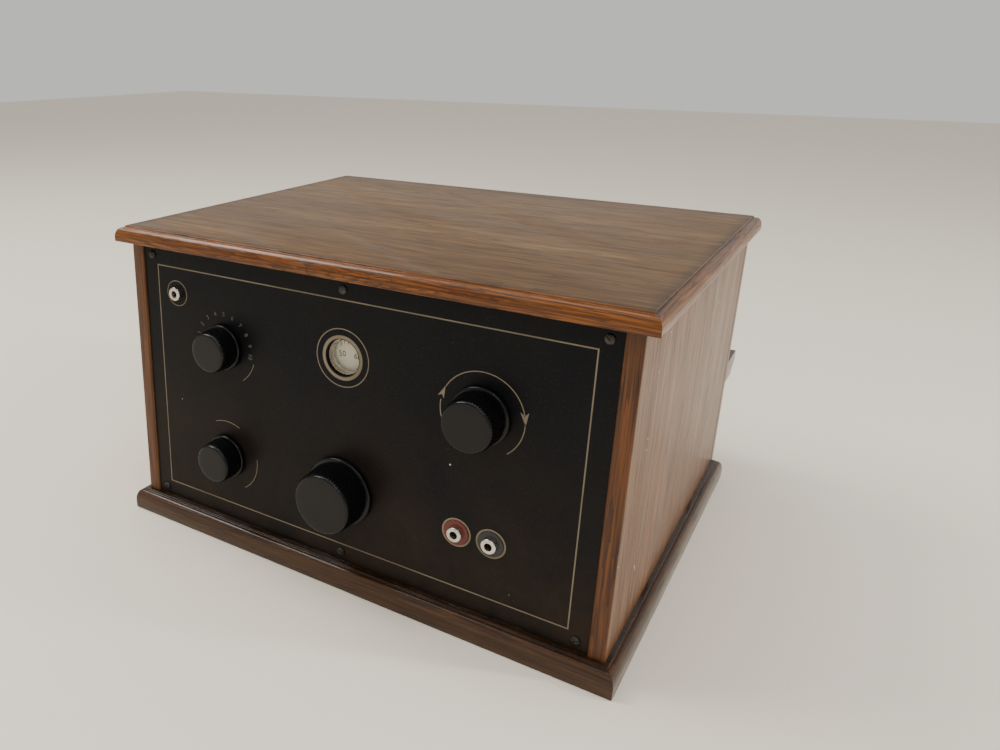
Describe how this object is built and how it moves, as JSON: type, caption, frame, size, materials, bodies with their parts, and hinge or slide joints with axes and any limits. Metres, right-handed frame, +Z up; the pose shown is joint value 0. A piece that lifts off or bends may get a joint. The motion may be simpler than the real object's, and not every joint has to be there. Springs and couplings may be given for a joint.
{
  "type": "table radio receiver",
  "caption": "Oak table receiver with a lift-up lid, a black front panel with a tuning dial window, control knobs and plug sockets, and valves and coils inside.",
  "frame": {"origin": "on the table, under the middle of the cabinet body", "axes": "+X to the right of someone facing the front panel, +Y to the back, +Z up"},
  "size_m": [0.3328, 0.3183, 0.2008],
  "materials": {
    "oak": "oiled and varnished oak, worn arrises",
    "dark_oak": "dark stained oak moulding, glossy",
    "softwood": "raw planed pine",
    "ebonite": "aged satin ebonite",
    "red_ebonite": "red ebonite",
    "bakelite": "polished black bakelite",
    "nickel": "nickel plate, slightly tarnished",
    "brass": "lacquered brass",
    "aluminium": "sheet aluminium",
    "dark_steel": "blackened steel",
    "celluloid": "cream celluloid",
    "pertinax": "varnished paper laminate",
    "silk_wire": "silk covered wire, waxed",
    "glass": "clear glass, silvered at the top"
  },
  "bodies": {
    "cabinet": {"base_board": "dark_oak", "side_left": "oak", "side_right": "oak", "back_board": "oak", "rail_front_top": "softwood", "rail_front_bottom": "softwood", "rail_rear_top": "softwood", "front_panel": "ebonite", "hinge_left_lower": "brass", "hinge_right_lower": "brass", "window_bezel": "nickel", "antenna_socket": "nickel", "phone_bush_left": "red_ebonite", "phone_socket_left": "nickel", "phone_bush_right": "ebonite", "phone_socket_right": "nickel", "rear_ledge": "oak", "terminal_strip": "ebonite", "condenser_stator": "aluminium", "stator_insulator": "ebonite", "condenser_frame": "brass", "selector_plate": "pertinax", "wave_plate": "pertinax", "coil_former": "pertinax", "coil_winding": "silk_wire", "transformer_core": "dark_steel", "transformer_winding": "pertinax", "grid_condenser": "bakelite", "panel_screw_1": "dark_steel", "panel_screw_2": "dark_steel", "panel_screw_3": "dark_steel", "panel_screw_4": "dark_steel", "panel_screw_5": "dark_steel", "panel_screw_6": "dark_steel", "terminal_socket_1": "nickel", "terminal_socket_2": "nickel", "terminal_socket_3": "nickel", "terminal_socket_4": "nickel", "valve_holder_1": "ebonite", "valve_base_1": "bakelite", "valve_bulb_1": "glass", "valve_holder_2": "ebonite", "valve_base_2": "bakelite", "valve_bulb_2": "glass"},
    "lid": {"lid": "oak", "hinge_left_upper": "brass", "hinge_right_upper": "brass"},
    "dial": {"dial_scale": "celluloid", "dial_wheel": "brass", "condenser_rotor": "aluminium"},
    "tuning": {"tuning_knob": "bakelite", "tuning_shaft": "brass"},
    "reaction": {"reaction_knob": "bakelite", "reaction_shaft": "brass", "reaction_coil": "silk_wire"},
    "selector": {"selector_knob": "bakelite", "selector_shaft": "brass"},
    "wave": {"wave_knob": "bakelite", "wave_shaft": "brass"}
  },
  "joints": [
    {"name": "lid_hinge", "type": "hinge", "parent": "cabinet", "child": "lid", "pos_m": [0, 0.129, 0.19065], "axis": [-1, 0, 0], "range_deg": [0, 95]},
    {"name": "dial_turn", "type": "hinge", "parent": "cabinet", "child": "dial", "pos_m": [0, -0.134, 0.1118], "axis": [0, 1, 0], "range_deg": [-81, 99]},
    {"name": "tuning_turn", "type": "hinge", "parent": "cabinet", "child": "tuning", "pos_m": [0, -0.134, 0.0618], "axis": [0, 1, 0], "range_deg": [-396, 324]},
    {"name": "reaction_turn", "type": "hinge", "parent": "cabinet", "child": "reaction", "pos_m": [0.0841, -0.134, 0.1313], "axis": [0, 1, 0], "range_deg": [-90, 90]},
    {"name": "selector_turn", "type": "hinge", "parent": "cabinet", "child": "selector", "pos_m": [-0.0863, -0.134, 0.1337], "axis": [0, 1, 0], "range_deg": [-76.9, 96.1]},
    {"name": "wave_turn", "type": "hinge", "parent": "cabinet", "child": "wave", "pos_m": [-0.0863, -0.134, 0.0598], "axis": [0, 1, 0], "range_deg": [0, 108]}
  ],
  "couplings": [
    {"joint": "tuning_turn", "follows": "dial_turn", "ratio": -4}
  ]
}
